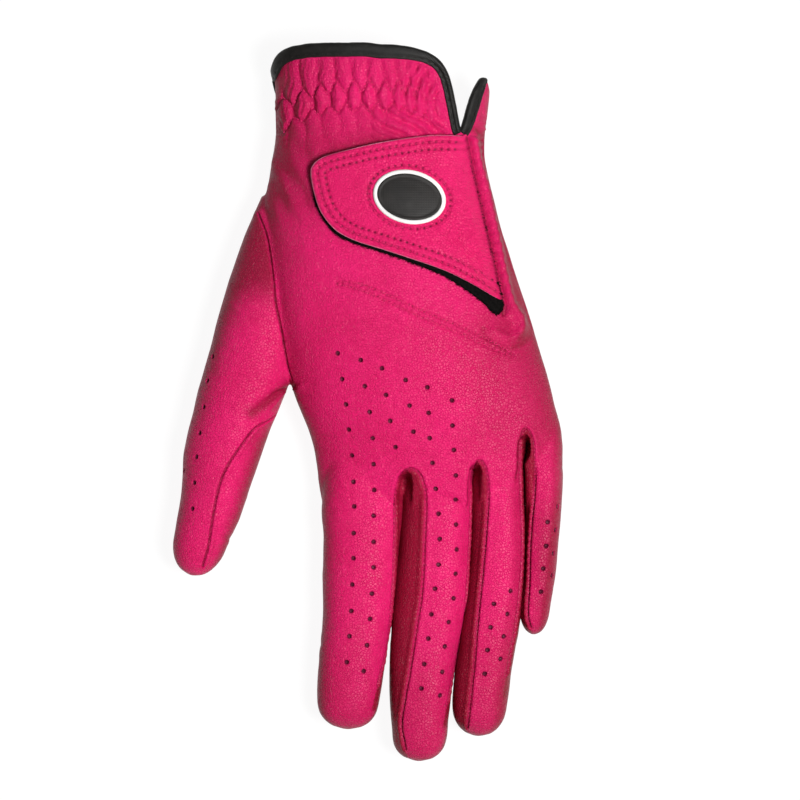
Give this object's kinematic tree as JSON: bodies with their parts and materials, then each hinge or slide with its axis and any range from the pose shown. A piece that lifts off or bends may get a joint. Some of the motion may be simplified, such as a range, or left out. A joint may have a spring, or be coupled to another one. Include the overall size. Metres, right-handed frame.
{
  "type": "golf glove",
  "caption": "Left-hand golf glove in pink leather with perforated fingers, gathered wrist, black cuff binding and an oval-badged closure tab.",
  "frame": {"origin": "middle of the object's box in X and Y, at the plane the palm rests on", "axes": "+X to the little-finger side, +Y to the cuff (fingers point to -Y), +Z out of the back of the hand"},
  "size_m": [0.1204, 0.2219, 0.0309],
  "materials": {
    "pink_leather": "satin, fine grain",
    "pink_gusset": "satin, fine grain, slightly darker",
    "thread": "matt twisted thread",
    "black_binding": "soft folded tape",
    "elastic": "woven elastic",
    "black_pile": "short fuzzy pile",
    "badge_black": "matt moulded",
    "badge_white": "moulded rim"
  },
  "bodies": {
    "hand": {"back_panel": "pink_leather", "crotch_gusset_index_middle": "pink_gusset", "crotch_gusset_middle_ring": "pink_gusset", "crotch_gusset_ring_little": "pink_gusset", "cuff_binding": "black_binding", "knuckle_elastic": "elastic", "knuckle_stitching_lower": "thread", "knuckle_stitching_upper": "thread", "loop_patch": "black_pile", "palm_binding": "black_binding", "palm_panel": "pink_leather", "slit_welt": "pink_leather", "thumb_root_inner": "pink_leather", "thumb_root_outer": "pink_leather", "vent_binding": "black_binding", "wrist_elastic": "elastic", "wrist_stitching_lower": "thread", "wrist_stitching_upper": "thread"},
    "closure_tab": {"badge": "badge_black", "badge_rim": "badge_white", "badge_stitching": "thread", "hook_patch": "black_pile", "tab_leather": "pink_leather", "tab_stitching_inner": "thread", "tab_stitching_outer": "thread"},
    "index_base": {"index_base_ulnar_gusset": "pink_gusset", "index_base_wrap": "pink_leather"},
    "index_tip": {"index_tip_ulnar_gusset": "pink_gusset", "index_tip_wrap": "pink_leather"},
    "middle_base": {"middle_base_back": "pink_leather", "middle_base_palm": "pink_leather", "middle_base_radial_gusset": "pink_gusset", "middle_base_ulnar_gusset": "pink_gusset"},
    "middle_tip": {"middle_tip_back": "pink_leather", "middle_tip_palm": "pink_leather", "middle_tip_radial_gusset": "pink_gusset", "middle_tip_ulnar_gusset": "pink_gusset"},
    "ring_base": {"ring_base_back": "pink_leather", "ring_base_palm": "pink_leather", "ring_base_radial_gusset": "pink_gusset", "ring_base_ulnar_gusset": "pink_gusset"},
    "ring_tip": {"ring_tip_back": "pink_leather", "ring_tip_palm": "pink_leather", "ring_tip_radial_gusset": "pink_gusset", "ring_tip_ulnar_gusset": "pink_gusset"},
    "little_base": {"little_base_back": "pink_leather", "little_base_palm": "pink_leather", "little_base_radial_gusset": "pink_gusset"},
    "little_tip": {"little_tip_back": "pink_leather", "little_tip_palm": "pink_leather", "little_tip_radial_gusset": "pink_gusset"},
    "thumb_base": {"thumb_base_inner": "pink_leather", "thumb_base_outer": "pink_leather"},
    "thumb_tip": {"thumb_tip_inner": "pink_leather", "thumb_tip_outer": "pink_leather"}
  },
  "joints": [
    {"name": "closure_tab_hinge", "type": "hinge", "parent": "hand", "child": "closure_tab", "pos_m": [0.03585, 0.0561, 0.0223], "axis": [-0.2214, 0.9743, -0.0424], "range_deg": [0, 115]},
    {"name": "index_knuckle", "type": "hinge", "parent": "hand", "child": "index_base", "pos_m": [-0.00235, -0.0335, 0.007], "axis": [0.9976, -0.0698, 0], "range_deg": [-12, 78]},
    {"name": "index_middle_bend", "type": "hinge", "parent": "index_base", "child": "index_tip", "pos_m": [-0.00402, -0.05744, 0.007], "axis": [0.9976, -0.0698, 0], "range_deg": [0, 82]},
    {"name": "middle_knuckle", "type": "hinge", "parent": "hand", "child": "middle_base", "pos_m": [0.02135, -0.032, 0.007], "axis": [0.9976, -0.0698, 0], "range_deg": [-12, 78]},
    {"name": "middle_middle_bend", "type": "hinge", "parent": "middle_base", "child": "middle_tip", "pos_m": [0.01947, -0.05893, 0.007], "axis": [0.9976, -0.0698, 0], "range_deg": [0, 82]},
    {"name": "ring_knuckle", "type": "hinge", "parent": "hand", "child": "ring_base", "pos_m": [0.04025, -0.028, 0.007], "axis": [0.9976, -0.0698, 0], "range_deg": [-12, 78]},
    {"name": "ring_middle_bend", "type": "hinge", "parent": "ring_base", "child": "ring_tip", "pos_m": [0.03837, -0.05493, 0.007], "axis": [0.9976, -0.0698, 0], "range_deg": [0, 82]},
    {"name": "little_knuckle", "type": "hinge", "parent": "hand", "child": "little_base", "pos_m": [0.05465, -0.0215, 0.0066], "axis": [0.9976, -0.0698, 0], "range_deg": [-12, 78]},
    {"name": "little_middle_bend", "type": "hinge", "parent": "little_base", "child": "little_tip", "pos_m": [0.05325, -0.04145, 0.0066], "axis": [0.9976, -0.0698, 0], "range_deg": [0, 82]},
    {"name": "thumb_knuckle", "type": "hinge", "parent": "hand", "child": "thumb_base", "pos_m": [-0.0425, -0.006, 0.0078], "axis": [0.9632, -0.2689, 0], "range_deg": [-10, 55]},
    {"name": "thumb_middle_bend", "type": "hinge", "parent": "thumb_base", "child": "thumb_tip", "pos_m": [-0.04774, -0.02478, 0.0078], "axis": [0.9632, -0.2689, 0], "range_deg": [0, 70]}
  ]
}
